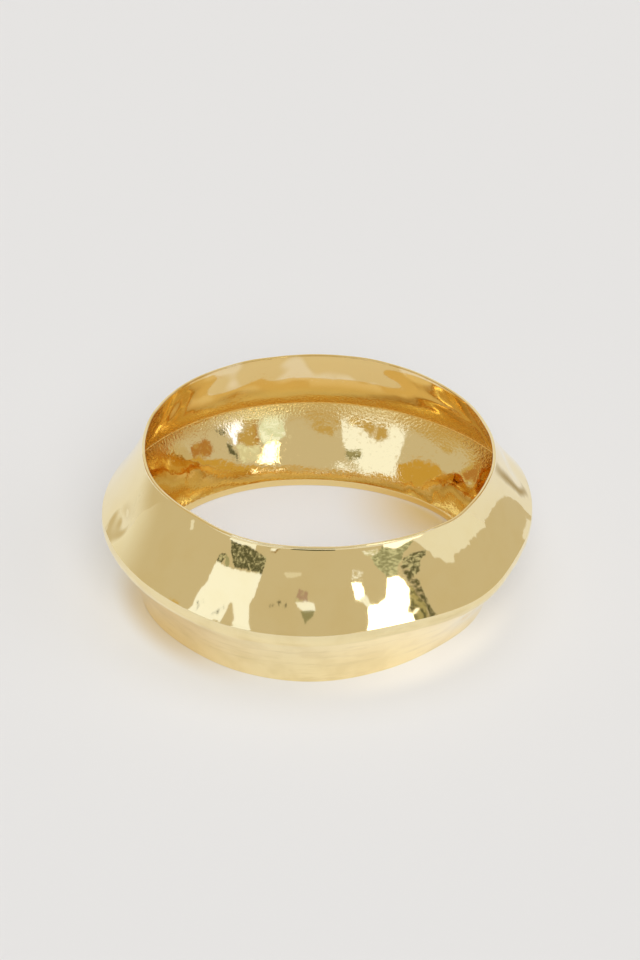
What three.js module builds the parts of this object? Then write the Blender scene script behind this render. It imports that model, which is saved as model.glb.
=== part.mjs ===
// A wide rigid bangle, raised by hand from one ring of sheet brass and plated with pale gold.
//
// It is one closed solid: a thin wall bent to a blunt V, with a ridge round its outside, a groove
// behind the ridge on its inside, and two plain rims. It lies flat on its foot rim.
//
// Millimetres, +Z up. The origin is the middle of the foot rim, on the surface that it lies on.

import * as THREE from 'three';

const { degToRad, radToDeg } = THREE.MathUtils;

// ---- driving dimensions ----

const INSIDE_RADIUS = 32.5; // of the round way that the hand goes through
const WALL = 1.0; // thickness of the sheet
const HEIGHT = 30; // from the foot rim to the top rim
const RIDGE_RADIUS = 41.25; // where the ridge stands out furthest
const RIDGE_HEIGHT = 15.3;
const BAND_RADIUS = 3.3; // of the narrow round band that runs along the ridge
const CREASE_LEAN = degToRad(15); // how far the band looks up where the upper flank meets it in a crease
const FLANK_LEAN = degToRad(36.5); // how far each flank looks up or down beside the ridge
const RIM_EDGE = 0.25; // rounding of the four edges of the rims

const STEPS_ROUND = 96; // flat facets round the bangle
const STEPS_FLANK = 7; // up each flank
const STEPS_BAND = 4; // up the band
const STEPS_EDGE = 2; // round each edge of a rim

// ---- how far the hand-beaten band strays from a true ring ----

// Sixteen sections, evenly spaced from +X towards +Y: how far the top rim, the foot rim and the
// ridge lie outside their circles, and how far the ridge lies above its height.
const SECTIONS = [
  { top: -0.3, foot: -0.5, ridge: -0.5, lift: 0.3 },
  { top: -0.4, foot: -0.4, ridge: 0.7, lift: 0.4 },
  { top: -0.3, foot: -0.2, ridge: 0.4, lift: 0.1 },
  { top: 0.1, foot: -0.8, ridge: 0.1, lift: 0 },
  { top: 0.1, foot: -0.9, ridge: 0, lift: 0 },
  { top: 0.1, foot: -0.2, ridge: 0, lift: 0 },
  { top: 0.5, foot: 0.5, ridge: -0.1, lift: -0.1 },
  { top: 0.2, foot: 0.4, ridge: -0.4, lift: -0.2 },
  { top: -0.2, foot: 0.5, ridge: -0.3, lift: -0.1 },
  { top: -0.2, foot: 0.6, ridge: 0, lift: 0 },
  { top: -0.6, foot: 0.2, ridge: 0.6, lift: -0.2 },
  { top: 0.4, foot: 0.4, ridge: 0.4, lift: -0.2 },
  { top: -0.1, foot: 0.1, ridge: 0.1, lift: -0.2 },
  { top: 0, foot: -1.2, ridge: -0.4, lift: 0.5 },
  { top: 0.6, foot: -1.8, ridge: 0.6, lift: -0.6 },
  { top: -0.1, foot: -0.8, ridge: -1.0, lift: -0.1 },
];

// The deepest hammer marks: where each one lies, how wide and tall it is, and how deep, in millimetres
// and degrees. A depth below zero is a mark struck from inside, which stands out.
const DENTS = [
  { at: 197, height: 19.5, wide: 7, tall: 5, depth: 0.5 },
  { at: 12, height: 20.5, wide: 8, tall: 6, depth: 0.5 },
  { at: 232, height: 17, wide: 9, tall: 4, depth: 0.3 },
  { at: 112, height: 9.5, wide: 7, tall: 6, depth: -0.5 },
  { at: 73, height: 11, wide: 7, tall: 5, depth: -0.5 },
  { at: 38, height: 7, wide: 9, tall: 6, depth: 0.4 },
];

const RIM_RADIUS = INSIDE_RADIUS + WALL;

// The value of one column of SECTIONS at an angle, on a smooth curve through all the sections.
function stray(column, angle) {
  const count = SECTIONS.length;
  const place = THREE.MathUtils.euclideanModulo(angle / (2 * Math.PI), 1) * count;
  const first = Math.floor(place);
  const share = place - first;
  const [before, start, end, after] = [-1, 0, 1, 2].map(
    (step) => SECTIONS[(first + step + count) % count][column],
  );
  const bend = 2 * before - 5 * start + 4 * end - after;
  const twist = 3 * start - before - 3 * end + after;
  return start + 0.5 * share * (end - before + share * (bend + share * twist));
}

// How far the hammer marks push the wall in, at an angle and a height.
function dentDepth(angle, height) {
  return DENTS.reduce((sum, dent) => {
    const turn = THREE.MathUtils.euclideanModulo(radToDeg(angle) - dent.at + 180, 360) - 180;
    const across = (2 * degToRad(turn) * RIDGE_RADIUS) / dent.wide;
    const up = (2 * (height - dent.height)) / dent.tall;
    return sum + dent.depth * Math.exp(-across * across - up * up);
  }, 0);
}

// ---- the section, as points whose x is the radius and y the height ----

// A point of the round band along the ridge that looks up by an angle.
function onBand(lean) {
  return new THREE.Vector2(
    RIDGE_RADIUS - BAND_RADIUS * (1 - Math.cos(lean)),
    RIDGE_HEIGHT + BAND_RADIUS * Math.sin(lean),
  );
}

// A flank: it leaves the band at the flank's lean and curves until it stands upright at its rim.
function flank(bandEnd, rimHeight) {
  const rise = (bandEnd.x - RIM_RADIUS) / Math.tan(FLANK_LEAN);
  const knee = new THREE.Vector2(RIM_RADIUS, bandEnd.y + Math.sign(rimHeight - bandEnd.y) * rise);
  return new THREE.QuadraticBezierCurve(bandEnd, knee, new THREE.Vector2(RIM_RADIUS, rimHeight));
}

// The outer face from the foot to the top, without the rounded edges of the rims.
function outerFace() {
  const lower = flank(onBand(-FLANK_LEAN), RIM_EDGE).getPoints(STEPS_FLANK).reverse();
  const upper = flank(onBand(CREASE_LEAN), HEIGHT - RIM_EDGE).getPoints(STEPS_FLANK);
  const band = [];
  for (let step = 1; step < STEPS_BAND; step += 1) {
    band.push(onBand(THREE.MathUtils.lerp(-FLANK_LEAN, CREASE_LEAN, step / STEPS_BAND)));
  }
  return [...lower, ...band, ...upper];
}

// The same points moved through the sheet to its inner face.
function innerFace(outer) {
  return outer.map((point, index) => {
    const along = outer[Math.min(index + 1, outer.length - 1)].clone().sub(outer[Math.max(index - 1, 0)]);
    const inward = new THREE.Vector2(-along.y, along.x).normalize();
    return point.clone().addScaledVector(inward, WALL);
  });
}

// A quarter circle round one edge of a rim, between the directions of two angles.
function edge(x, y, from, to) {
  const arc = new THREE.EllipseCurve(x, y, RIM_EDGE, RIM_EDGE, from, to, false);
  return arc.getPoints(STEPS_EDGE).slice(1);
}

// The whole section, closed on itself.
function section() {
  const right = Math.PI / 2;
  const outer = outerFace();
  const inner = innerFace(outer).reverse();
  return [
    ...outer,
    ...edge(RIM_RADIUS - RIM_EDGE, HEIGHT - RIM_EDGE, 0, right),
    new THREE.Vector2(INSIDE_RADIUS + RIM_EDGE, HEIGHT),
    ...edge(INSIDE_RADIUS + RIM_EDGE, HEIGHT - RIM_EDGE, right, 2 * right),
    ...inner.slice(1),
    ...edge(INSIDE_RADIUS + RIM_EDGE, RIM_EDGE, 2 * right, 3 * right),
    new THREE.Vector2(RIM_RADIUS - RIM_EDGE, 0),
    ...edge(RIM_RADIUS - RIM_EDGE, RIM_EDGE, 3 * right, 4 * right),
  ];
}

// ---- the bangle ----

function bangleBand() {
  const geometry = new THREE.LatheGeometry(section(), STEPS_ROUND);
  geometry.rotateX(Math.PI / 2);
  geometry.deleteAttribute('normal');
  geometry.deleteAttribute('uv');

  const places = geometry.getAttribute('position');
  for (let index = 0; index < places.count; index += 1) {
    const angle = Math.atan2(places.getY(index), places.getX(index));
    const height = places.getZ(index);
    const toTop = THREE.MathUtils.clamp((height - RIDGE_HEIGHT) / (HEIGHT - RIDGE_HEIGHT), 0, 1);
    const toFoot = THREE.MathUtils.clamp(1 - height / RIDGE_HEIGHT, 0, 1);
    const atRidge = 1 - toTop - toFoot;
    const out =
      toTop * stray('top', angle) +
      toFoot * stray('foot', angle) +
      atRidge * stray('ridge', angle) -
      dentDepth(angle, height);
    const radius = Math.hypot(places.getX(index), places.getY(index)) + out;
    const lifted = height + atRidge * stray('lift', angle);
    places.setXYZ(index, radius * Math.cos(angle), radius * Math.sin(angle), lifted);
  }
  geometry.computeVertexNormals();

  const gold = new THREE.MeshStandardMaterial({ color: 0xe6cf94, metalness: 1, roughness: 0.12 });
  const band = new THREE.Mesh(geometry, gold);
  band.name = 'bangle_band';
  return band;
}

const bangle = new THREE.Group();
bangle.add(bangleBand());

export default bangle;
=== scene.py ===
# %% [markdown]
# # A hammered gold bangle
# The frame holds one rigid band of brass sheet, a wall 1 mm thick that stands out in a ridge all round, so
# that its section is a blunt V. Blender adds the skin: a finer copy of the same form, the marks that a
# planishing hammer leaves, and a pale gold plate so bright that it shows the room more than itself.
# The file runs from top to bottom: frame, camera, studio, band, metal and hand-over. Each step says what
# the thing is, how else it could be made, and why it is made this way. Lengths are in metres.

# %% the frame
import math

import bpy
import numpy as np
from mathutils import Matrix, Vector


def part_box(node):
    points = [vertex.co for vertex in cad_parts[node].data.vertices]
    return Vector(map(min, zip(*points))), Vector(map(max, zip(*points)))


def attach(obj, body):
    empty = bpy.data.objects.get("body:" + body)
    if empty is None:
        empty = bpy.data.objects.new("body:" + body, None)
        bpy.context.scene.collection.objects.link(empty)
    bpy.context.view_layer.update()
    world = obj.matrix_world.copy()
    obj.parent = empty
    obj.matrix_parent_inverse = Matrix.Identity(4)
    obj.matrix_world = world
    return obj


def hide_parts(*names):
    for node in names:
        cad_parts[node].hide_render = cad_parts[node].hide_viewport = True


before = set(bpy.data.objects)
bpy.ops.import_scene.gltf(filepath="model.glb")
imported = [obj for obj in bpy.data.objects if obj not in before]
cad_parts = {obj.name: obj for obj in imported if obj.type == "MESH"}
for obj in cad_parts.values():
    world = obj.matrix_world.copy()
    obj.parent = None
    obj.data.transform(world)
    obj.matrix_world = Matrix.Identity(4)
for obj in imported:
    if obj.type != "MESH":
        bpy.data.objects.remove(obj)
scene = bpy.context.scene
MM = 0.001
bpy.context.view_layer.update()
band_low, band_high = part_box("bangle_band")
print("band box in mm:", [round(side / MM, 2) for side in band_high - band_low])

# %% [markdown]
# ## The camera
# The bangle lies on a table and is seen by someone who sits in front of it. A long lens from far away keeps
# its two rims almost equally wide, where a short lens from near by would swell the front.
# A camera could be turned by typing in three angles. Here it is aimed at a point inside the band, because
# such a point can be worked out from the band's height, and a small roll is added last.

# %% camera
HEIGHT = band_high.z - band_low.z
CAMERA_DISTANCE = 0.7109
CAMERA_ELEVATION = math.radians(34.98)
CAMERA_ROLL = 0.022
FOCAL_LENGTH = 138.65
AIM = Vector((0.0003, 0.36 * HEIGHT, 0.514 * HEIGHT))

lens = bpy.data.cameras.new("camera")
lens.lens = FOCAL_LENGTH
lens.sensor_width = 36
lens.clip_start = 0.05
lens.clip_end = 30
camera = bpy.data.objects.new("camera", lens)
scene.collection.objects.link(camera)
camera.location = CAMERA_DISTANCE * Vector((0, -math.cos(CAMERA_ELEVATION), math.sin(CAMERA_ELEVATION)))
aimed = (AIM - camera.location).to_track_quat("-Z", "Y").to_matrix().to_4x4()
camera.matrix_world = Matrix.Translation(camera.location) @ aimed @ Matrix.Rotation(CAMERA_ROLL, 4, "Z")
scene.camera = camera
print("camera at", [round(x, 4) for x in camera.location])

# %% [markdown]
# ## Node maths in plain Python
# A node tree is easier to read as a sum than as a row of boxes. The class below wraps one socket, so that
# `1 - mask * 0.5` adds the Math nodes by itself. Every other node comes from `node`, which sets a node's
# settings, then its input sockets, and gives back one of its outputs.

# %% a socket to calculate with
class Value:
    """A socket in a node tree. Sums and products of Values add Math nodes."""

    def __init__(self, tree, socket):
        self.tree = tree
        self.socket = socket

    def math(self, operation, first, second):
        """One Math node on two numbers or Values."""
        return node(self.tree, "ShaderNodeMath", {"operation": operation}, Value=first, Value_001=second)

    def smoothly(self, low, high):
        """0 below low, 1 above high, and a smooth rise between them."""
        rise = {"interpolation_type": "SMOOTHSTEP"}
        return node(self.tree, "ShaderNodeMapRange", rise, Value=self, From_Min=low, From_Max=high)

    def __add__(self, other):
        return self.math("ADD", self, other)

    def __sub__(self, other):
        return self.math("SUBTRACT", self, other)

    def __rsub__(self, other):
        return self.math("SUBTRACT", other, self)

    def __mul__(self, other):
        return self.math("MULTIPLY", self, other)

    def __truediv__(self, other):
        return self.math("DIVIDE", self, other)

    def __rtruediv__(self, other):
        return self.math("DIVIDE", other, self)

    def __gt__(self, other):
        return self.math("GREATER_THAN", self, other)

    __radd__ = __add__
    __rmul__ = __mul__


def node(tree, kind, settings=None, output=0, **sockets):
    """Adds one node and gives back one output, which is chosen by its name or its place.

    A socket goes by its identifier, with _ for each space, and takes a Value, a number or a colour.
    """
    made = tree.nodes.new(kind)
    for name, setting in (settings or {}).items():
        setattr(made, name, setting)
    places = {place.identifier.replace(" ", "_"): place for place in made.inputs}
    for name, given in sockets.items():
        if isinstance(given, Value):
            tree.links.new(given.socket, places[name])
        else:
            places[name].default_value = given
    return Value(tree, made.outputs[output]) if made.outputs else None


# %% colours and shaders
def mixed(factor, first, second, blend_type="MIX"):
    """A colour between two colours: the first where factor is 0."""
    settings = {"data_type": "RGBA", "blend_type": blend_type}
    colours = {"A_Color": first, "B_Color": second}
    return node(factor.tree, "ShaderNodeMix", settings, 2, Factor_Float=factor, **colours)


def blended(factor, first, second):
    """A shader between two shaders: the first where factor is 0."""
    return node(factor.tree, "ShaderNodeMixShader", Fac=factor, Shader=first, Shader_001=second)


def opaque(colour):
    """The same colour with its fourth number, as sockets want it."""
    return (*colour, 1)


# %% [markdown]
# ## The room
# Polished metal shows the room and not itself, so the room is half of the picture. A ready-made
# panorama of a real room could stand in for it. A painted sky is used instead, because it can be told
# apart by the kind of ray that meets it. The floor gets a weak even light. The gold mirrors a beige wall
# with a pale corner behind the bangle. A ray that went from the floor to the gold and on meets a bright
# window, which throws warm light back to the floor.

# %% the painted sky
WHITE = (1, 1, 1)
WARM_ROOM = (0.58, 0.51, 0.38)
PALE_ROOM = (0.80, 0.79, 0.76)
DOME_SHARE = 0.14
WARM_SIDE = 15
WINDOW_SIDE = -80
WINDOW_GLOW = 6.0
WALL_GLOW = 1.2
ROOM_GLOW = 0.2

world = bpy.data.worlds.new("studio")
scene.world = world
world.use_nodes = True
room = world.node_tree
room.nodes.clear()
direction = node(room, "ShaderNodeTexCoord", output="Generated")


def toward(azimuth, elevation, distance):
    """A point seen from the bangle: azimuth 0 is the viewer's side, and 90 is +X."""
    a = math.radians(azimuth)
    e = math.radians(elevation)
    return Vector((math.sin(a) * math.cos(e), -math.cos(a) * math.cos(e), math.sin(e))) * distance


def facing(azimuth):
    """How squarely a ray points to an azimuth, from -1 to 1."""
    product = {"operation": "DOT_PRODUCT"}
    side = toward(azimuth, 0, 1)
    return node(room, "ShaderNodeVectorMath", product, "Value", Vector=direction, Vector_001=side)


def background(colour, strength):
    return node(room, "ShaderNodeBackground", Color=colour, Strength=strength)


upward = node(room, "ShaderNodeSeparateXYZ", output="Z", Vector=direction)
window = facing(WINDOW_SIDE).smoothly(-0.2, 0.9) * (upward.smoothly(0.3, 0.6) * WINDOW_GLOW + WALL_GLOW)
wall = mixed(facing(WARM_SIDE).smoothly(-0.80, -0.40), opaque(PALE_ROOM), opaque(WARM_ROOM))
on_the_floor = background(opaque(WHITE), DOME_SHARE)
in_the_gold = background(wall, 1.0)
thrown_back = background(opaque(WHITE), window + ROOM_GLOW)
after_floor = node(room, "ShaderNodeLightPath", output="Diffuse Depth") > 0.5
glossy = node(room, "ShaderNodeLightPath", output="Is Glossy Ray")
sky = blended(glossy, on_the_floor, blended(after_floor, in_the_gold, thrown_back))
node(room, "ShaderNodeOutputWorld", Surface=sky)
print("sky of", len(room.nodes), "nodes")

# %% [markdown]
# ## The table
# The bangle lies on a plain pale sheet of card. Gold throws patches of warm light on what it stands on,
# which a path tracer finds slowly and with much noise. So the sheet is painted with three soft spots: warm
# light inside the ring, shade under the left flank, and light under the right one. A weak glow keeps its
# shadows open, as the white walls of a studio do.

# %% floor
FLOOR_REACH = 4.0
FLOOR_TINT = (0.79, 0.776, 0.76)
FLOOR_GLOW = 0.4
FLOOR_SPOTS = (
    # ring core, ring reach, x, y, core, reach, tint
    (31, 35, 28, 27, 3, 26, (0.86, 0.62, 0.22)),
    (34, 40, -34, -16, 4, 34, (0.80, 0.68, 0.49)),
    (35, 41, 24, -27, 4, 34, (1.18, 1.16, 1.12)),
)


def new_material(name):
    """An empty node material and its tree."""
    material = bpy.data.materials.new(name)
    material.use_nodes = True
    material.node_tree.nodes.clear()
    return material, material.node_tree


def mesh_object(name, points, faces):
    """A new mesh object at the origin."""
    mesh = bpy.data.meshes.new(name)
    mesh.from_pydata([tuple(point) for point in points], [], faces)
    mesh.update()
    made = bpy.data.objects.new(name, mesh)
    scene.collection.objects.link(made)
    return made


def near(place, middle, core, reach):
    """1 within core of a point, and a smooth fall to 0 at reach."""
    distance = {"operation": "DISTANCE"}
    away = node(place.tree, "ShaderNodeVectorMath", distance, "Value", Vector=place, Vector_001=middle)
    return 1 - away.smoothly(core, reach)


def square(middle, reach, turn):
    """The corners of a square round a point."""
    corners = ((-1, -1), (1, -1), (1, 1), (-1, 1))
    return [middle + turn @ Vector((x * reach, y * reach, 0)) for x, y in corners]


floor_paint, tree = new_material("pale_floor")
place = node(tree, "ShaderNodeTexCoord", output="Object")
paint = opaque(FLOOR_TINT)
for ring_core, ring_reach, x, y, core, reach, tint in FLOOR_SPOTS:
    spot = near(place, (x * MM, y * MM, 0), core * MM, reach * MM)
    spot = spot * near(place, (0, 0, 0), ring_core * MM, ring_reach * MM)
    paint = mixed(spot, paint, opaque(tint), "MULTIPLY")
plain = node(tree, "ShaderNodeBsdfDiffuse", Color=paint)
glow = node(tree, "ShaderNodeEmission", Color=paint)
both = node(tree, "ShaderNodeMixShader", Fac=FLOOR_GLOW, Shader=plain, Shader_001=glow)
node(tree, "ShaderNodeOutputMaterial", Surface=both)
floor = mesh_object("floor", square(Vector(), FLOOR_REACH, Matrix.Identity(3)), [(0, 1, 2, 3)])
floor.data.materials.append(floor_paint)
print("floor of", 2 * FLOOR_REACH, "m")

# %% [markdown]
# ## The lamps
# Three wide, far lamps light the table: one in front, a window at the right and the ceiling. Each gives a
# known share of the floor's brightness, so that they can be balanced against each other. They aren't
# mirrored in the gold, where a lamp's disc would look like a sticker. The cards of the next step are.

# %% lamps
LAMPS = (
    # name, azimuth, elevation, spread, share
    ("front", 8, 39, 36, 0.46),
    ("window", 80, 38, 40, 0.10),
    ("overhead", 0, 88, 60, 0.30),
)
for name, azimuth, elevation, spread, share in LAMPS:
    light = bpy.data.lights.new(name, "SUN")
    light.angle = math.radians(spread)
    light.energy = share * math.pi / math.sin(math.radians(elevation))
    lamp = bpy.data.objects.new(name, light)
    scene.collection.objects.link(lamp)
    lamp.rotation_euler = toward(azimuth, elevation, 1).to_track_quat("Z", "Y").to_euler()
    lamp.visible_glossy = False
    print(name, "lamp:", round(light.energy, 2), "W/m2")

# %% [markdown]
# ## What the gold mirrors
# In a jeweller's studio, white boards and dark flags stand round a ring, because without them gold
# looks flat. Each card here is a polygon that glows and that only the metal sees. It hangs on a sphere
# round the bangle, so its corners are two angles, the azimuth and the elevation, in degrees.
# Real boards have straight edges, but a hammered surface tears them. Shaping the metal finely enough
# for that takes millions of faces, so a card's own outline is torn a little, and some cards carry
# flecks.

# %% how a card is made
NEAR = 0.20
CARD_SEED = 5
STEP_TO_TEAR = 2.2
UPWARD_TEAR = 0.6
FLECK_GRAIN = 2.5 * MM
FLECK_EDGE = 0.05
NOISE_LOW = 0.32
NOISE_HIGH = 0.68
FLECK_STRETCH = (0.35, 0.35, 1)
chance = np.random.default_rng(CARD_SEED)
hung = []


def glowing(name, colour, strength=1.0, fleck=None, grain=FLECK_GRAIN, share=0.4, shape=None):
    """A material that only glows.

    It may have ragged flecks of a second colour on a share of it, and a shape: a function that takes the
    place and gives 1 where the card is and 0 where it is clear.
    """
    material, tree = new_material(name)
    place = node(tree, "ShaderNodeTexCoord", output="Object")
    colour = opaque(colour)
    if fleck is not None:
        flat = {"operation": "MULTIPLY"}
        drawn_out = node(tree, "ShaderNodeVectorMath", flat, Vector=place, Vector_001=FLECK_STRETCH)
        rough = {"Detail": 6.0, "Roughness": 0.75}
        noise = node(tree, "ShaderNodeTexNoise", Vector=drawn_out, Scale=1 / grain, **rough)
        middle = NOISE_HIGH - (NOISE_HIGH - NOISE_LOW) * share
        flecks = noise.smoothly(middle - FLECK_EDGE, middle + FLECK_EDGE)
        colour = mixed(flecks, colour, opaque(fleck))
    surface = node(tree, "ShaderNodeEmission", Color=colour, Strength=strength)
    if shape is not None:
        surface = blended(shape(place), node(tree, "ShaderNodeBsdfTransparent"), surface)
    node(tree, "ShaderNodeOutputMaterial", Surface=surface)
    return material


def hang(name, points, faces, material):
    """Hangs a card in the studio, where only the metal sees it."""
    made = mesh_object(name, points, faces)
    made.data.materials.append(material)
    made.visible_camera = False
    made.visible_diffuse = False
    made.visible_shadow = False
    hung.append(made)


def torn(corners, tear):
    """The same outline in short steps, with its edges torn by up to tear."""
    outline = []
    for (x1, y1), (x2, y2) in zip(corners, corners[1:] + corners[:1]):
        steps = max(1, round(math.hypot(x2 - x1, y2 - y1) / (STEP_TO_TEAR * tear))) if tear else 1
        outline.append((x1, y1))
        for step in range(1, steps):
            share = step / steps
            aside, up = chance.uniform(-tear, tear, 2)
            outline.append((x1 + share * (x2 - x1) + aside, y1 + share * (y2 - y1) + UPWARD_TEAR * up))
    return outline


def card(name, corners, colour, strength=1.0, distance=NEAR, tear=0.35, **flecks):
    """A glowing polygon, whose corners are given as azimuth and elevation."""
    points = [toward(azimuth, elevation, distance) for azimuth, elevation in torn(corners, tear)]
    hang(name, points, [tuple(range(len(points)))], glowing(name, colour, strength, **flecks))


def soft_spot(name, middle, turn, core, reach, colour):
    """A round card that fades from core to reach."""
    material = glowing(name, colour, shape=lambda place: near(place, middle, core, reach))
    hang(name, square(middle, reach, turn), [(0, 1, 2, 3)], material)


CREAM = (0.95, 1.0, 1.10)
UMBER = (0.10, 0.10, 0.055)
PALE = (0.60, 0.58, 0.42)
GREEN = (0.27, 0.28, 0.18)
print("cards hang", NEAR, "m from the bangle")

# %% a tall window at the left
card("softbox", [
    (-55, 19.5), (-44, 19.5), (-35, 19.5), (-25, 20.5), (-26.5, 22.5), (-27.5, 25), (-29.5, 27),
    (-29, 28.5), (-27.5, 34), (-33, 34), (-33.5, 30), (-34.5, 29.5), (-36, 28), (-39, 26.5),
    (-39.5, 28.5), (-40, 29.5), (-42.5, 30), (-46, 34), (-53, 34), (-54, 30.5), (-54.5, 28), (-54, 26),
    (-54.5, 22.5),
], CREAM, 1.02)
card("softbox_flecks", [(-53.5, 28.5), (-47, 27.5), (-41, 27), (-40, 28), (-45, 29.5), (-50.5, 30)],
     CREAM, distance=NEAR - 2 * MM, tear=0.3, fleck=UMBER, share=0.35)
card("window_gap", [(-78.5, 13.5), (-77.5, 12.5), (-75.5, 15.5), (-76.5, 16)], PALE_ROOM, tear=0.2)
card("flag", [
    (-53, 11), (-44, 11.5), (-36, 12), (-28, 14.5), (-22.5, 16), (-23.5, 18), (-25, 20.5), (-36, 19),
    (-43, 19), (-48.5, 15.5),
], UMBER, fleck=PALE, share=0.36)
card("flag_corner", [(-55, 19.5), (-55.5, 17.5), (-52.5, 16), (-51, 17.5), (-52, 19.5)], UMBER, fleck=PALE)
card("olive_drop", [(-52, 16), (-48, 17.5), (-46, 20.5), (-49.5, 19)], (0.36, 0.36, 0.24))
card("board_edge", [(-54, 11), (-54, 7.5), (-29, 7.5), (-30.5, 13.5), (-36, 12), (-44, 11.5)], CREAM)
print("cards with the window:", len(hung))

# %% small things in the middle
card("rim_chip", [(-20.5, 14), (-18.5, 11.5), (-16, 11), (-15.5, 12.5), (-17.5, 14.5)], CREAM, tear=0.2)
card("rim_shade", [(-15.5, 12), (-14, 12), (-14.5, 13.5), (-17, 15), (-21, 14.5), (-17.5, 14.5)],
     (0.36, 0.25, 0.12), tear=0.2)
card("rim_scratch", [(-25, 9.5), (-20, 10.5), (-20.5, 11), (-25, 10)], (0.20, 0.15, 0.06), tear=0)
card("rim_line", [(-9.5, 11), (-5, 12.5), (1, 13.5), (5, 13), (10.5, 12.5), (10.5, 8), (-8, 8)],
     UMBER, tear=0)
card("pale_strip", [(-13.5, 21), (-10, 21), (-4.5, 21.5), (-5, 22.5), (-11, 22.5)],
     (0.72, 0.68, 0.58), tear=0.2)
card("brown_chip", [(-8.5, 27), (-6, 25.5), (-2, 26.5), (-2.5, 28), (-8.5, 28)],
     (0.42, 0.30, 0.26), fleck=PALE)
card("cream_chip", [(-8, 28), (-4.5, 27.5), (0, 28.5), (1, 30), (-5, 30)], CREAM, tear=0.15)
card("olive_chip", [(-6, 30), (0.5, 30), (-0.5, 31), (-4, 32)], (0.28, 0.27, 0.16), tear=0.1)
card("specks", [(-20.5, 27.5), (-16, 27), (-11, 28), (-12.5, 28.5), (-17, 28)],
     UMBER, fleck=WARM_ROOM, share=0.6)
print("cards with the small things:", len(hung))

# %% the lamps at the right
card("bright_flecks", [(18, 20.5), (24, 20.5), (23.5, 23), (18.5, 23.5)], WARM_ROOM, fleck=CREAM, share=0.4)
card("small_lamp", [(18, 24), (23, 23.5), (24.5, 27), (20, 27.5)], WHITE, 2.5)
card("lamp_link", [(21, 27), (24.5, 26.5), (27.5, 28.5), (25, 29)], CREAM)
card("big_lamp", [
    (34.5, 22), (38.5, 21.5), (40.5, 24), (41.5, 26.5), (40, 28.5), (39.5, 29.5), (41, 30), (41, 33),
    (28, 33), (25, 33), (25, 29.5), (26, 28.5), (30, 28), (33, 27), (34, 24.5),
], WHITE, 4.0)
card("lamp_glint", [(40.5, 30), (42, 29), (43.5, 29), (41.5, 30)], WHITE, 1.5, NEAR - 2 * MM, tear=0)
print("cards with the lamps:", len(hung))

# %% leaves and their shade beside the lamps
card("leaves", [
    (31, 14), (34, 10.5), (43, 9), (47, 11), (41, 15.5), (38.5, 19.5), (38, 21.5), (34, 21.5),
    (31, 19.5), (27, 16),
], GREEN, fleck=(0.62, 0.64, 0.48), share=0.45)
card("leaf_flare", [
    (34, 12), (39, 13), (43, 11.5), (47, 10), (56, 9), (64, 8.5), (60, 4), (45, 4), (34, 6),
], WHITE, 1.5, NEAR - 2 * MM)
card("leaf_edge", [(22, 14), (31, 12.5), (31, 14.5), (26, 15.5)], PALE, fleck=CREAM, share=0.4)
card("shade_ring", [
    (40.5, 17), (45, 15.5), (53, 15), (52, 16.5), (48.5, 18), (47, 21), (44, 22), (42.5, 20.5),
    (40.5, 19.5),
], UMBER, fleck=PALE, share=0.45)
card("shade_streak", [
    (39.5, 19), (41, 22.5), (42, 24.5), (43.5, 26.5), (46, 28), (48, 31), (50.5, 31), (48, 28),
    (46.5, 26), (45.5, 23.5), (44, 22), (41.5, 18),
], UMBER, fleck=WARM_ROOM, share=0.48)
card("olive_shade", [(40, 26.5), (41.5, 24), (43.5, 26.5), (46, 28), (48, 32), (41, 32)],
     (0.42, 0.38, 0.20), fleck=UMBER)
print("cards with the leaves:", len(hung))

# %% the pale wall at the right and a soft shadow at the left
card("pale_wall", [
    (47, 10.5), (53, 15), (56, 17), (63, 18.5), (69, 18.5), (78.5, 14.5), (88.5, 10.5), (96.5, 6.5),
    (104.5, 2.5), (111, -1), (47, -1),
], PALE_ROOM, tear=0.9)
left_shadow = toward(-121.5, 6.5, NEAR)
facing_the_bangle = left_shadow.to_track_quat("Z", "Y").to_matrix()
soft_spot("left_shadow", left_shadow, facing_the_bangle, 4 * MM, 22 * MM, WARM_ROOM)
print("cards with the wall:", len(hung))

# %% [markdown]
# ## Mats on the table
# The flanks at the left and the right mirror the table far away, where a studio's pale sheet ends and the
# warm room begins. Two mats stand for that end, and their corners are in millimetres on the table. They
# hide from the camera, so the sheet itself stays plain. The left one fades in over a range of bearings,
# because a flank that bends slowly spreads an edge.

# %% mats
MAT_HEIGHT = 0.5 * MM
MAT_TEAR = 2.2
LEFT_MAT_SLOPES = (-0.62, -0.30)


def mat(name, corners, shape=None):
    """A mat that glows in the warm room's colour and lies on the table, where only the metal sees it."""
    points = [(x * MM, y * MM, MAT_HEIGHT) for x, y in torn(corners, MAT_TEAR)]
    hang(name, points, [tuple(range(len(points)))], glowing(name, WARM_ROOM, shape=shape))


def left_of_the_sheet(place):
    """Fades with the slope of the line from the bangle's middle."""
    x, y = (node(place.tree, "ShaderNodeSeparateXYZ", output=axis, Vector=place) for axis in "XY")
    return (y / x).smoothly(*LEFT_MAT_SLOPES)


mat("right_mat", [
    (500, 70), (265, 80), (175, 60), (135, 55), (110, 60), (100, 65), (95, 70), (105, 80), (140, 100),
    (205, 140), (3990, 2700), (3990, 60),
])
mat("left_mat", [
    (-85, 60), (-180, 115), (-345, 220), (-2000, 1300), (-3990, 2600), (-3990, -3990), (-900, -800),
    (-300, -60), (-200, 20),
], left_of_the_sheet)
soft_spot("right_shadow", Vector((71.5 * MM, 60 * MM, MAT_HEIGHT)), Matrix.Identity(3), 1 * MM, 11 * MM,
          (0.42, 0.35, 0.24))
print("cards with the mats:", len(hung))
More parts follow.
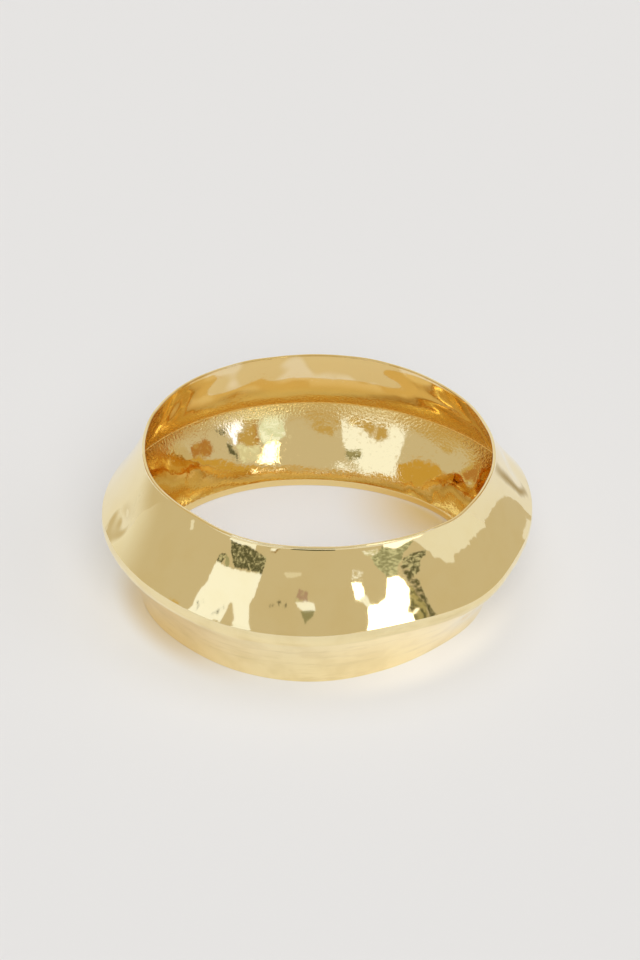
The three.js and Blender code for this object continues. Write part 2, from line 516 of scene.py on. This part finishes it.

# %% [markdown]
# ## Cards over the wrist hole
# The inside mirrors the room steeply upwards, through the wrist hole, and the far wall shows a small copy
# of the same studio. These cards hang nearer, in front of the others and higher up. Gold inside the ring
# looks deeper, because much of its light has already met gold once, so the plate is painted a deeper
# colour there, as painted shade for that light, and each card's colour is worked back to look the same in
# it.

# %% deeper gold and curved screens
CLOSE = 0.12
OUTER_GOLD = (1.0, 0.85, 0.50)
# the inner plate colour is painted shade, for light that has already met gold inside the ring
INNER_SHADE_GOLD = (0.93, 0.73, 0.34)
SCREEN_COLUMNS = 60
SCREEN_ROWS = 6


def inner(colour):
    """The colour that looks in the deeper inner gold as a card does outside."""
    return tuple(part * outer / deep for part, outer, deep in zip(colour, OUTER_GOLD, INNER_SHADE_GOLD))


def screen(name, distance, lower, upper, colour):
    """A curved card. Its lower and upper edge are short tables of azimuth and elevation."""
    across = np.linspace(lower[0][0], lower[-1][0], SCREEN_COLUMNS)
    low, high = (np.interp(across, *zip(*rows)) for rows in (lower, upper))
    rows = [low + share * (high - low) for share in np.linspace(0, 1, SCREEN_ROWS)]
    points = [toward(*angles, distance) for row in rows for angles in zip(across, row)]
    starts = [row * SCREEN_COLUMNS + i for row in range(SCREEN_ROWS - 1) for i in range(SCREEN_COLUMNS - 1)]
    faces = [(i, i + 1, i + 1 + SCREEN_COLUMNS, i + SCREEN_COLUMNS) for i in starts]
    hang(name, points, faces, glowing(name, colour))


AMBER = inner((0.52, 0.36, 0.12))
RUST = inner((0.42, 0.20, 0.05))
HONEY = (0.587, 0.388, 0.094)
BEHIND = CLOSE + 4 * MM
MIDDLE = CLOSE + 2 * MM
FRONT = CLOSE - 2 * MM
screen("inner_wall", BEHIND, [(-112, 32), (104, 32)], [(-112, 75), (104, 75)], inner(WARM_ROOM))
screen("inner_rust_left", BEHIND, [(104, 20), (128, 20)], [(104, 70), (128, 70)], RUST)
screen("inner_rust_right", BEHIND, [(-128, 20), (-112, 20)], [(-128, 70), (-112, 70)], RUST)
screen("inner_hem", MIDDLE, [
    (-54, 31), (-30, 30.5), (-10, 32), (20, 32), (35, 30.5), (50, 29), (60, 27.5), (70, 25.5),
    (80, 22.5), (108, 20),
], [
    (-54, 35.5), (-43, 34.5), (-29, 33.5), (-16, 35), (0, 35), (22, 34), (54, 35), (64, 34), (88, 31),
    (108, 27),
], HONEY)
print("curved screens hang", CLOSE, "m from the bangle")

# %% amber patches
card("inner_wedge", [
    (-53, 31), (-53, 35), (-54.5, 42.5), (-67.5, 42), (-80.5, 39), (-90, 33), (-98.5, 28), (-104, 22.5),
    (-97, 22.5), (-90, 24), (-80, 27.5), (-70, 30), (-60, 31),
], HONEY, distance=MIDDLE, tear=0.8)
card("inner_band", [
    (-60, 66), (-61, 54), (-65, 50.5), (-71.5, 48), (-82, 44), (-87, 42.5), (-91, 41), (-97, 40.5),
    (-103.5, 37.5), (-108, 36), (-112, 34), (-108, 31.5), (-105, 27), (-105, 23), (-113, 23),
    (-113, 66),
], AMBER, distance=CLOSE, tear=0.8, fleck=PALE, share=0.25)
card("inner_crown", [(-15, 58), (-8, 56.5), (0, 58), (8, 57), (16, 59), (23, 57), (24, 70), (-15, 70)],
     inner(WARM_ROOM), distance=CLOSE, tear=0.8, fleck=AMBER, share=0.6, grain=4 * MM)
card("inner_patch", [(90, 35), (85, 37.5), (80, 39.5), (76, 40), (74, 38), (76.5, 34), (88.5, 31)],
     RUST, distance=CLOSE, tear=0.8, fleck=AMBER, share=0.3)
print("cards with the amber patches:", len(hung))

# %% the window again
card("inner_softbox", [
    (-17.5, 63), (-17, 59.5), (-16, 57), (-18, 53.5), (-22.5, 51), (-22, 45), (-20.5, 39),
    (-19.5, 34.5), (-29, 33.5), (-43, 34), (-53, 35.5), (-53.5, 43), (-56.5, 48.5), (-60.5, 50.5),
    (-64.5, 54), (-64, 63), (-58, 63), (-56, 55.5), (-54, 53.5), (-51, 54), (-39.5, 56.5),
    (-28.5, 57.5), (-24.5, 58.5), (-21.5, 57.5), (-21, 63),
], inner(CREAM), 1.02, CLOSE, tear=0.8)
card("inner_blob", [
    (-58, 64), (-56, 56), (-54, 54), (-51, 54.5), (-39.5, 57), (-28.5, 58), (-24.5, 59), (-22, 64),
], AMBER, distance=CLOSE, tear=0.8, fleck=inner(CREAM), share=0.2, grain=3 * MM)
card("inner_glint", [(-24, 60.5), (-26.5, 60), (-25.5, 58.5), (-24, 59.5)], WHITE, 2.0, FRONT, tear=0)
card("inner_olive", [(-21, 51.5), (-31, 50.5), (-36, 47), (-23, 45)],
     inner((0.36, 0.34, 0.20)), distance=FRONT, tear=0.8, fleck=inner(UMBER))
card("inner_slot", [(-21, 44.5), (-24.5, 46.5), (-30.5, 36), (-26.5, 34.5), (-22.5, 39.5)],
     inner(WARM_ROOM), distance=FRONT)
card("inner_chip", [(-11, 41), (-18, 42.5), (-19.5, 35), (-14, 35.5)], inner(CREAM), distance=CLOSE)
print("cards with the inner window:", len(hung))

# %% the lamp again, in a ring
SILVER = inner((0.95, 1.05, 1.10))
GLARE = inner((1.2, 1.3, 1.2))
card("inner_lamp", [(37.5, 38), (37, 40), (34.5, 48), (27.5, 50.5), (25.5, 48.5), (25, 40), (28, 38.5)],
     WHITE, 3.0, CLOSE - 4 * MM)
card("ring_right", [
    (40, 57), (33, 59), (26.5, 57.5), (24.5, 53), (27, 50), (32.5, 48.5), (36, 50), (37, 53),
], inner((0.70, 0.78, 0.66)), distance=CLOSE, tear=0.8, fleck=SILVER, share=0.5, grain=2.2 * MM)
card("ring_left", [
    (66, 52), (57, 54), (55, 50.5), (59, 46.5), (59, 44.5), (61.5, 42.5), (65.5, 43), (66.5, 46),
], inner((1, 1.1, 1.6)), 1.4, CLOSE, tear=0.8)
card("ring_top", [
    (70, 50), (66, 54), (55, 58), (40, 61), (28, 61), (30, 57.5), (42.5, 55.5), (45, 52.5),
    (50.5, 52.5), (57, 52), (64, 50),
], inner((0.62, 0.60, 0.40)), distance=FRONT, tear=0.8, fleck=GLARE, share=0.45, grain=3 * MM)
card("ring_centre", [
    (53, 49), (47, 52), (42.5, 53), (37.5, 51.5), (38, 48.5), (48, 46.5), (57.5, 44.5), (58, 46),
], AMBER, distance=FRONT, tear=0.8, fleck=RUST, share=0.3, grain=6 * MM)
card("ring_foot", [(61.5, 42.5), (48, 46), (36.5, 48.5), (37, 39.5), (51.5, 38), (59, 41.5)],
     inner((0.66, 0.63, 0.47)), distance=CLOSE, fleck=inner((0.80, 0.85, 0.70)), grain=3 * MM)
card("inner_shade", [(73.5, 45.5), (69, 46.5), (67.5, 43.5), (71, 43.5)],
     inner(UMBER), distance=CLOSE, fleck=inner(CREAM), share=0.35)
card("inner_streak", [(66.5, 41.5), (64, 42), (55, 37.5), (57.5, 37), (64.5, 39.5)],
     inner(UMBER), distance=FRONT, fleck=inner(PALE), share=0.3)
print("cards in all:", len(hung))

# %% [markdown]
# ## The shape of the band
# A smith bends a flat strip to a ring, closes it, and beats its middle out over a stake until it folds
# to a ridge. The hammer never falls twice on the same place, and the rim is trued with a file by eye, so
# no two sections are quite alike.
# The band could be modelled by pushing a cylinder's points about. Here one section is drawn with a few
# sizes and carried round the wrist, and short tables say how far each part of it strays on the way. The
# sizes are the same as the solid's, except that the rims lean a little, the foot is rounded as a beaten
# foot is, and the wall thins at the rim.

# %% sizes of the section
INSIDE_RADIUS = 32.5 * MM
WALL = 1.0 * MM
RIM_RADIUS = INSIDE_RADIUS + WALL
RIM_WALL = 0.65 * MM
RIM_EDGE = 0.25 * MM
RIM_LEAN = math.radians(20)
RIDGE_RADIUS = 41.25 * MM
RIDGE_HEIGHT = 15.3 * MM
RIDGE_BEND = 3.3 * MM
CREASE_LEAN = math.radians(15)
CREASE_BEVEL = 0.04 * MM
FLANK_LEAN = math.radians(36.5)
SOLE_LEAN = math.radians(15)
GROOVE_RADIUS = 40.47 * MM
GROOVE_HEIGHT = 14.3 * MM
GROOVE_BEND = 0.3 * MM
FOOT_LEAN = math.radians(17)
FOOT_ROUND = (0.65 * MM, 1.6 * MM)
OUTER_STEPS = (26, 34)
INNER_STEPS = (32, 28)
RIDGE_STEPS = 9
GROOVE_STEPS = 8
EDGE_STEPS = 5
FOOT_STEPS = 8


# %% one section
def bend(radius, height, bend_radius, leans):
    """Points of a round bend whose widest point is given, where the face leans up by each angle."""
    return np.stack((
        radius - bend_radius * (1 - np.cos(leans)),
        height + bend_radius * np.sin(leans),
    ), -1)


def flank(start, rim_radius, rim_height, rim_lean, steps):
    """A curve from a bend to a rim: it sets off at FLANK_LEAN and stands at rim_lean when it arrives."""
    side = math.copysign(1, rim_height - start[1])
    steep = math.tan(rim_lean)
    slack = math.tan(FLANK_LEAN)
    rise = (start[0] - rim_radius - abs(rim_height - start[1]) * steep) / (slack - steep)
    knee = start + rise * np.array((-slack, side))
    rim = np.array((rim_radius, rim_height))
    t = np.linspace(0, 1, steps + 1)[:, None]
    return (1 - t) ** 2 * start + 2 * t * (1 - t) * knee + t**2 * rim


def outer_face():
    """The lower flank, the ridge's round, a sharp crease and the upper flank."""
    round_leans = np.linspace(-FLANK_LEAN, CREASE_LEAN, RIDGE_STEPS + 1)[:-1]
    crease_leans = (CREASE_LEAN - CREASE_BEVEL / RIDGE_BEND, CREASE_LEAN)
    ridge = bend(RIDGE_RADIUS, RIDGE_HEIGHT, RIDGE_BEND, np.append(round_leans, crease_leans))
    lower = flank(ridge[0], RIM_RADIUS, RIM_EDGE, SOLE_LEAN, OUTER_STEPS[0])[:0:-1]
    upper = flank(ridge[-1], RIM_RADIUS, HEIGHT - RIM_EDGE, RIM_LEAN, OUTER_STEPS[1])[1:]
    step = (upper[0] - ridge[-1]) / np.linalg.norm(upper[0] - ridge[-1])
    return np.concatenate((lower, ridge, ridge[-1:] + CREASE_BEVEL * step, upper))


def inner_face():
    """The same fold from the wrist's side, where it is a narrow groove."""
    leans = np.linspace(-FLANK_LEAN, FLANK_LEAN, GROOVE_STEPS + 1)
    groove = bend(GROOVE_RADIUS, GROOVE_HEIGHT, GROOVE_BEND, leans)
    lower = flank(groove[0], INSIDE_RADIUS, FOOT_ROUND[1], FOOT_LEAN, INNER_STEPS[0])[:0:-1]
    upper = flank(groove[-1], RIM_RADIUS - RIM_WALL, HEIGHT - RIM_EDGE, RIM_LEAN, INNER_STEPS[1])[1:]
    return np.concatenate((lower, groove, upper))


def edge(x, y, start, wide=RIM_EDGE, tall=RIM_EDGE, steps=EDGE_STEPS):
    """A quarter of a round edge."""
    turn = start + np.linspace(0, math.pi / 2, steps + 1)[1:]
    return np.stack((x + wide * np.cos(turn), y + tall * np.sin(turn)), -1)


def section():
    """One closed line round the wall: up the outside, over the rim, down the inside, under the foot."""
    return np.concatenate((
        outer_face(),
        edge(RIM_RADIUS - RIM_EDGE, HEIGHT - RIM_EDGE, 0),
        edge(RIM_RADIUS - RIM_WALL + RIM_EDGE, HEIGHT - RIM_EDGE, math.pi / 2),
        inner_face()[::-1][1:],
        edge(INSIDE_RADIUS + FOOT_ROUND[0], FOOT_ROUND[1], math.pi, *FOOT_ROUND, FOOT_STEPS),
        edge(RIM_RADIUS - RIM_EDGE, RIM_EDGE, 1.5 * math.pi)[:-1],
    ))


profile = section()
print("section points:", len(profile))

# %% how the hand-made band strays
STRAY_COLUMNS = ("top", "foot", "ridge", "lift")
STRAYS = np.array([
    # how far the top rim, the foot rim and the ridge stand out, and how far the ridge is lifted, in mm,
    # at even steps round the wrist
    (-0.3, -0.5, -0.5, 0.3),
    (-0.4, -0.4, 0.7, 0.4),
    (-0.3, -0.2, 0.4, 0.1),
    (0.1, -0.8, 0.1, 0.0),
    (0.1, -0.9, 0.0, 0.0),
    (0.1, -0.2, 0.0, 0.0),
    (0.5, 0.5, -0.1, -0.1),
    (0.2, 0.4, -0.4, -0.2),
    (-0.2, 0.5, -0.3, -0.1),
    (-0.2, 0.6, 0.0, 0.9),
    (-0.6, 0.2, 0.6, 0.9),
    (0.4, 0.4, 0.4, -0.3),
    (-0.1, 0.1, 0.1, -0.2),
    (0.0, -1.2, -0.4, 0.5),
    (0.6, -1.8, 0.6, 0.5),
    (-0.1, -0.8, -1.0, 0.3),
])
FILE_STROKES = 44
FILE_DEPTH = 0.12 * MM
FILE_FADE = 6
FILE_SEED = 8
filed = np.random.default_rng(FILE_SEED).uniform(-FILE_DEPTH, FILE_DEPTH, FILE_STROKES)
DENTS = (
    # angle in degrees, then height, width, tallness and depth in mm
    (197, 19.5, 7, 5, 0.5),
    (12, 20.5, 8, 6, 0.5),
    (232, 17, 9, 4, 0.06),
    (112, 9.5, 7, 6, -0.1),
    (73, 11, 7, 5, -0.1),
    (38, 7, 9, 6, 0.4),
)
INNER_DENTS = (
    # angle in degrees, then height, width, tallness and depth in mm
    (119, 22.3, 9, 4, 0.25),
    (106, 25, 6, 5, -0.12),
    (128, 26, 8, 5, -0.2),
    (66, 25.5, 12, 5, -0.25),
    (43, 22.6, 17, 2.6, 0.22),
    (31, 18, 3, 9, 0.25),
    (141, 23, 5, 8, 0.2),
    (151, 20, 4, 8, -0.2),
    (55, 3.5, 3, 3, 0.15),
    (47, 3, 3, 3, -0.15),
)
print("rim filed by up to", round(np.abs(filed).max() / MM, 3), "mm")


# %% curves and dents
def round_curve(values, angle):
    """A smooth curve once round the wrist, through values at even steps."""
    place = (angle / (2 * math.pi) % 1) * len(values)
    first = np.floor(place).astype(int)
    share = place - first
    before, start, end, after = (values[(first + step) % len(values)] for step in (-1, 0, 1, 2))
    bow = 2 * before - 5 * start + 4 * end - after
    twist = 3 * start - before - 3 * end + after
    return start + 0.5 * share * (end - before + share * (bow + share * twist))


def stray(column, angle):
    """One column of STRAYS at any angle, in metres."""
    return round_curve(STRAYS[:, STRAY_COLUMNS.index(column)] * MM, angle)


def dented(dents, angle, height):
    """How far the dents of a table push the wall in."""
    total = np.zeros(np.broadcast(angle, height).shape)
    for at, up, wide, tall, depth in dents:
        turn = (np.degrees(angle) - at + 180) % 360 - 180
        across = 2 * np.radians(turn) * RIDGE_RADIUS / (wide * MM)
        along = 2 * (height - up * MM) / (tall * MM)
        total = total + depth * MM * np.exp(-across**2 - along**2)
    return total


for column in STRAY_COLUMNS:
    print(column, "strays by up to", round(np.abs(STRAYS[:, STRAY_COLUMNS.index(column)]).max(), 2), "mm")


# %% once round the wrist
STEPS_ROUND = 600
angle = np.linspace(0, 2 * math.pi, STEPS_ROUND, endpoint=False)[:, None]
radius = profile[None, :, 0]
height = profile[None, :, 1]
ahead = np.roll(profile, -1, 0) - np.roll(profile, 1, 0)
out_of_metal = np.stack((ahead[:, 1], -ahead[:, 0]), -1)
out_of_metal /= np.linalg.norm(out_of_metal, axis=1, keepdims=True)
inside = np.clip(0.5 - out_of_metal[:, 0], 0, 1)
to_top = np.clip((height - RIDGE_HEIGHT) / (HEIGHT - RIDGE_HEIGHT), 0, 1)
to_foot = np.clip(1 - height / RIDGE_HEIGHT, 0, 1)
to_ridge = 1 - to_top - to_foot
out = (
    to_top * stray("top", angle)
    + to_foot * stray("foot", angle)
    + to_ridge * stray("ridge", angle)
    - dented(DENTS, angle, height)
    - inside * dented(INNER_DENTS, angle, height)
)
lifted = height + to_ridge * stray("lift", angle) + to_top**FILE_FADE * round_curve(filed, angle)
reach = radius + out
points = np.stack((reach * np.cos(angle), reach * np.sin(angle), lifted), -1).reshape(-1, 3)
count = len(profile)
i = np.arange(STEPS_ROUND)[:, None]
j = np.arange(count)[None]
next_i = (i + 1) % STEPS_ROUND
next_j = (j + 1) % count
corners = (i * count + j, next_i * count + j, next_i * count + next_j, i * count + next_j)
faces = np.stack(np.broadcast_arrays(*corners), -1).reshape(-1, 4)
band = mesh_object("gilded_band", points, faces.tolist())
band.data.polygons.foreach_set("use_smooth", np.ones(len(faces), bool))
print("band triangles:", 2 * len(band.data.polygons))

# %% [markdown]
# ## What each point knows
# The hammer and the metal need to know where on the band they are: on the wrist's side, in the fold
# above the groove, in the groove, on the ridge. The height alone can't tell them, because the two sides
# of a thin wall have the same height. So each point of the mesh keeps such places as attributes, which
# are numbers between 0 and 1.

# %% attributes
UP = profile[:, 1]
RIM_WORK = 0.35
RIM_REACH = 1.5 * MM


def ramp(start, length):
    """0 at a height and 1 a length above it."""
    return np.clip((UP - start) / length, 0, 1)


def hump(middle, width):
    """1 at a height, and a smooth fall on both sides."""
    return np.exp(-(((UP - middle) / width) ** 2))


outward = np.stack(np.broadcast_arrays(
    out_of_metal[:, 0] * np.cos(angle), out_of_metal[:, 0] * np.sin(angle), out_of_metal[:, 1]
), -1).reshape(-1, 3)
quiet_rim = 1 - (1 - RIM_WORK) * ramp(HEIGHT - RIM_REACH, RIM_REACH)
below_rim = 1 - ramp(GROOVE_HEIGHT, HEIGHT - GROOVE_HEIGHT)
ATTRIBUTES = {
    "inside": inside,
    "worked": ramp(0.4 * MM, 2 * MM) * quiet_rim,
    # fold marks where the material paints shade above the groove
    "fold": inside * ramp(GROOVE_HEIGHT + 2 * MM, 3 * MM) * below_rim,
    # groove is read for the rough finish and for painted shade in the crease
    "groove": inside * hump(GROOVE_HEIGHT - 0.1 * MM, 1.6 * MM),
    "ridge": (1 - inside) * hump(RIDGE_HEIGHT - 0.6 * MM, 1.4 * MM),
}
layer = band.data.attributes.new("outward", "FLOAT_VECTOR", "POINT")
layer.data.foreach_set("vector", outward.ravel().astype(np.float32))
for name, values in ATTRIBUTES.items():
    layer = band.data.attributes.new(name, "FLOAT", "POINT")
    layer.data.foreach_set("value", np.tile(values, STEPS_ROUND).astype(np.float32))
print("attributes:", list(ATTRIBUTES))

# %% [markdown]
# ## Planishing
# The last blows of a light, polished hammer leave shallow facets all over a bangle. They are too
# shallow to see as steps, but each one bends what the gold mirrors. Sculpting them by hand would take
# hours, and a bump map wouldn't turn up in the mesh. A small Geometry Nodes tree moves every point along
# the way out of the metal by smooth noise: broad blows, a finer ripple, and a rougher line along the
# ridge.

# %% the planishing tree
planish = bpy.data.node_groups.new("planishing", "GeometryNodeTree")
SETTINGS = (
    # name, kind, value
    ("Blow size", "NodeSocketFloat", 9 * MM),
    ("Blow depth outside", "NodeSocketFloat", 0.012 * MM),
    ("Blow depth inside", "NodeSocketFloat", 0.07 * MM),
    ("Ripple size", "NodeSocketFloat", 2.6 * MM),
    ("Ripple depth outside", "NodeSocketFloat", 0.005 * MM),
    ("Ripple depth inside", "NodeSocketFloat", 0.012 * MM),
    ("Ridge depth", "NodeSocketFloat", 0.08 * MM),
    ("Seed", "NodeSocketFloat", 3.0),
    ("Metal", "NodeSocketMaterial", None),
)
RIPPLE_SEED = 7.0
RIDGE_SEED = 11.0
WAVE_GAIN = 3.0
planish.interface.new_socket("Geometry", in_out="INPUT", socket_type="NodeSocketGeometry")
sockets = {}
for name, kind, value in SETTINGS:
    sockets[name] = planish.interface.new_socket(name, in_out="INPUT", socket_type=kind)
planish.interface.new_socket("Geometry", in_out="OUTPUT", socket_type="NodeSocketGeometry")
given = planish.nodes.new("NodeGroupInput")
result = planish.nodes.new("NodeGroupOutput")


def setting(name):
    """One of the tree's named inputs."""
    return Value(planish, given.outputs[name])


def stored(name, kind="FLOAT"):
    """An attribute of the mesh."""
    return node(planish, "GeometryNodeInputNamedAttribute", {"data_type": kind}, Name=name)


def waves(size, seed):
    """Smooth noise between about -1 and 1, whose waves are about size long."""
    seeded = {"noise_dimensions": "4D"}
    soft = {"Detail": 1.0, "Roughness": 0.4}
    noise = node(planish, "ShaderNodeTexNoise", seeded, W=seed, Scale=1 / size, **soft)
    return (noise - 0.5) * WAVE_GAIN


def by_side(name):
    """A depth that has one value outside and another on the wrist's side."""
    wrist = stored("inside")
    return setting(name + " outside") * (1 - wrist) + setting(name + " inside") * wrist


seed = setting("Seed")
blows = waves(setting("Blow size"), seed) * by_side("Blow depth")
ripples = waves(setting("Ripple size"), seed + RIPPLE_SEED) * by_side("Ripple depth")
ridge_line = waves(setting("Ripple size"), seed + RIDGE_SEED) * setting("Ridge depth") * stored("ridge")
push = (blows + ripples + ridge_line) * stored("worked")
scaled = {"operation": "SCALE"}
move = node(planish, "ShaderNodeVectorMath", scaled, Vector=stored("outward", "FLOAT_VECTOR"), Scale=push)
placed = node(planish, "GeometryNodeSetPosition", Geometry=setting("Geometry"), Offset=move)
realized = node(planish, "GeometryNodeRealizeInstances", Geometry=placed)
plated = node(planish, "GeometryNodeSetMaterial", Geometry=realized, Material=setting("Metal"))
planish.links.new(plated.socket, result.inputs[0])
print("planishing tree:", len(planish.nodes), "nodes")

# %% [markdown]
# ## The plate
# The plate is pale, almost lemon gold over brass, polished bright. Outside it is smooth, with a faint
# tarnish that drifts over it and fine level streaks below the ridge, where the polishing wheel ran
# round, and below the ridge the drifting patches are darker. Inside, where no wheel reaches, it is
# finely pitted and painted a deeper colour, as painted shade for light that has already met gold. The
# fold above the groove is painted deeper still, as painted shade, with a paler lip just above the
# groove. The groove is left rough and painted a brown gold, as painted shade in its crease, and near the
# top rim a sleeve has worn the plate paler in patches.
# A scratched metal texture would tile and would need an unwrapped band. Noise in the band's own space
# needs neither.

# %% gold
LEMON_GOLD = (1.0, 0.86, 0.51)
DRIFT_GOLD = (0.99, 0.84, 0.48)
BELOW_RIDGE_GOLD = (0.84, 0.69, 0.37)
FOLD_SHADE_GOLD = (0.86, 0.64, 0.26)
WORN_GOLD = (0.98, 0.83, 0.52)
DULL_GOLD = (0.87, 0.65, 0.27)
LIP_GOLD = (0.98, 0.83, 0.42)
GROOVE_SHADE_GOLD = (0.88, 0.60, 0.17)
DRIFT_SIZE = 6 * MM
WEAR_SIZE = 9 * MM
STREAK_SIZE = 1.6 * MM
STREAK_STRETCH = 6
POLISH = 0.04
gold, tree = new_material("pale_gold")
place = node(tree, "ShaderNodeTexCoord", output="Object")


def attribute(name):
    """An attribute of the band, read in the material."""
    return node(tree, "ShaderNodeAttribute", {"attribute_name": name}, "Fac")


def grain(size, detail=2.0, roughness=0.5, stretch=1.0):
    """Noise between about 0 and 1, with grains of a size, which may be drawn out level."""
    drawn = (1 / stretch, 1 / stretch, 1)
    level = node(tree, "ShaderNodeVectorMath", {"operation": "MULTIPLY"}, Vector=place, Vector_001=drawn)
    return node(tree, "ShaderNodeTexNoise", Vector=level, Scale=1 / size, Detail=detail, Roughness=roughness)


wrist = attribute("inside")
groove = attribute("groove")
up = node(tree, "ShaderNodeSeparateXYZ", output="Z", Vector=place)
below_ridge = (1 - up.smoothly(RIDGE_HEIGHT, RIDGE_HEIGHT + 1.5 * MM)) * (1 - wrist)
near_foot = (1 - up.smoothly(3 * MM, 8 * MM)) * wrist
near_rim = up.smoothly(19 * MM, 22 * MM) * wrist
above_groove = 1 - up.smoothly(GROOVE_HEIGHT + 3 * MM, GROOVE_HEIGHT + 6 * MM)
lip = up.smoothly(GROOVE_HEIGHT + 0.5 * MM, GROOVE_HEIGHT + 1.5 * MM) * above_groove * wrist
drift = grain(DRIFT_SIZE, 3.0).smoothly(0.4, 0.7)
streaks = grain(STREAK_SIZE, 3.0, 0.6, STREAK_STRETCH).smoothly(0.5, 0.75) * below_ridge
worn = grain(WEAR_SIZE, 1.0).smoothly(0.46, 0.56)
LAYERS = (
    # where it lies, how much of it covers, its colour
    (drift, 1.0, opaque(DRIFT_GOLD)),
    # below the ridge the drifting patches are darker
    (drift * below_ridge, 0.4, opaque(BELOW_RIDGE_GOLD)),
    (streaks, 0.6, opaque(BELOW_RIDGE_GOLD)),
    # painted shade inside the ring, for light that has already met gold
    (wrist, 1.0, opaque(INNER_SHADE_GOLD)),
    # painted shade in the fold above the groove
    (attribute("fold"), 1.0, opaque(FOLD_SHADE_GOLD)),
    (near_rim, 0.8, mixed(worn, opaque(DULL_GOLD), opaque(WORN_GOLD))),
    # the lip just above the groove is painted paler than the painted shade of the fold
    (lip, 0.9, opaque(LIP_GOLD)),
    # painted shade in the groove's crease, which is also rough
    (groove, 0.7, opaque(GROOVE_SHADE_GOLD)),
)
colour = opaque(LEMON_GOLD)
for where, cover, shade in LAYERS:
    colour = mixed(where * cover, colour, shade)
print("colour tree:", len(tree.nodes), "nodes")

# %% roughness and relief
PIT_SIZE = 0.7 * MM
GRAIN_SIZE = 0.5 * MM
BRUSH_SIZE = 1.2 * MM
BRUSH_STRETCH = 8
BRUSH_DEPTH = 0.02 * MM
PIT_ROUGHNESS = 0.16
GROOVE_ROUGHNESS = 0.12
OUTSIDE_DEPTH = 0.0004 * MM
WRIST_DEPTH = 0.002 * MM
FOOT_DEPTH = 0.016 * MM
GROOVE_DEPTH = 0.1 * MM
pits = grain(PIT_SIZE, 3.0).smoothly(0.52, 0.75) * wrist
roughness = POLISH + pits * PIT_ROUGHNESS + groove * GROOVE_ROUGHNESS
depth = OUTSIDE_DEPTH + wrist * WRIST_DEPTH + near_foot * FOOT_DEPTH + groove * GROOVE_DEPTH
relief = (grain(GRAIN_SIZE) - 0.5) * depth
relief = relief + (grain(BRUSH_SIZE, 3.0, 0.6, BRUSH_STRETCH) - 0.5) * below_ridge * BRUSH_DEPTH
bump = node(tree, "ShaderNodeBump", Height=relief, Strength=1.0, Distance=1.0)
looks = {"Base_Color": colour, "Roughness": roughness, "Normal": bump}
metal = node(tree, "ShaderNodeBsdfPrincipled", Metallic=1.0, **looks)
node(tree, "ShaderNodeOutputMaterial", Surface=metal)
print("gold tree:", len(tree.nodes), "nodes")

# %% [markdown]
# ## Hammering the band
# The tree is put on the band as a modifier, its inputs are set, and the evaluated band is kept as a plain
# mesh. The modifier goes before the frame learns about the piece: it rides the one rigid body, takes the
# place of the solid band, and fills the slot for the gold plate.

# %% hammering
hammer = band.modifiers.new("planishing", "NODES")
hammer.node_group = planish
for name, kind, value in SETTINGS:
    hammer[sockets[name].identifier] = gold if kind == "NodeSocketMaterial" else value
bpy.context.view_layer.update()
evaluated = band.evaluated_get(bpy.context.evaluated_depsgraph_get())
beaten = bpy.data.meshes.new_from_object(evaluated)
band.modifiers.clear()
band.data = beaten
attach(band, "root")
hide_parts("bangle_band")
print("beaten band:", len(beaten.vertices), "points,", [material.name for material in beaten.materials])

# %% [markdown]
# ## Hand-over
# Light that enters the groove meets gold several times before it comes out, so it is followed for eight
# reflections. The Standard view leaves the colours as they are, where a film look would grey the pale
# sheet.

# %% view settings and hand-over
GLOSSY_BOUNCES = 8
scene.cycles.glossy_bounces = GLOSSY_BOUNCES
scene.view_settings.view_transform = "Standard"
scene.view_settings.look = "None"
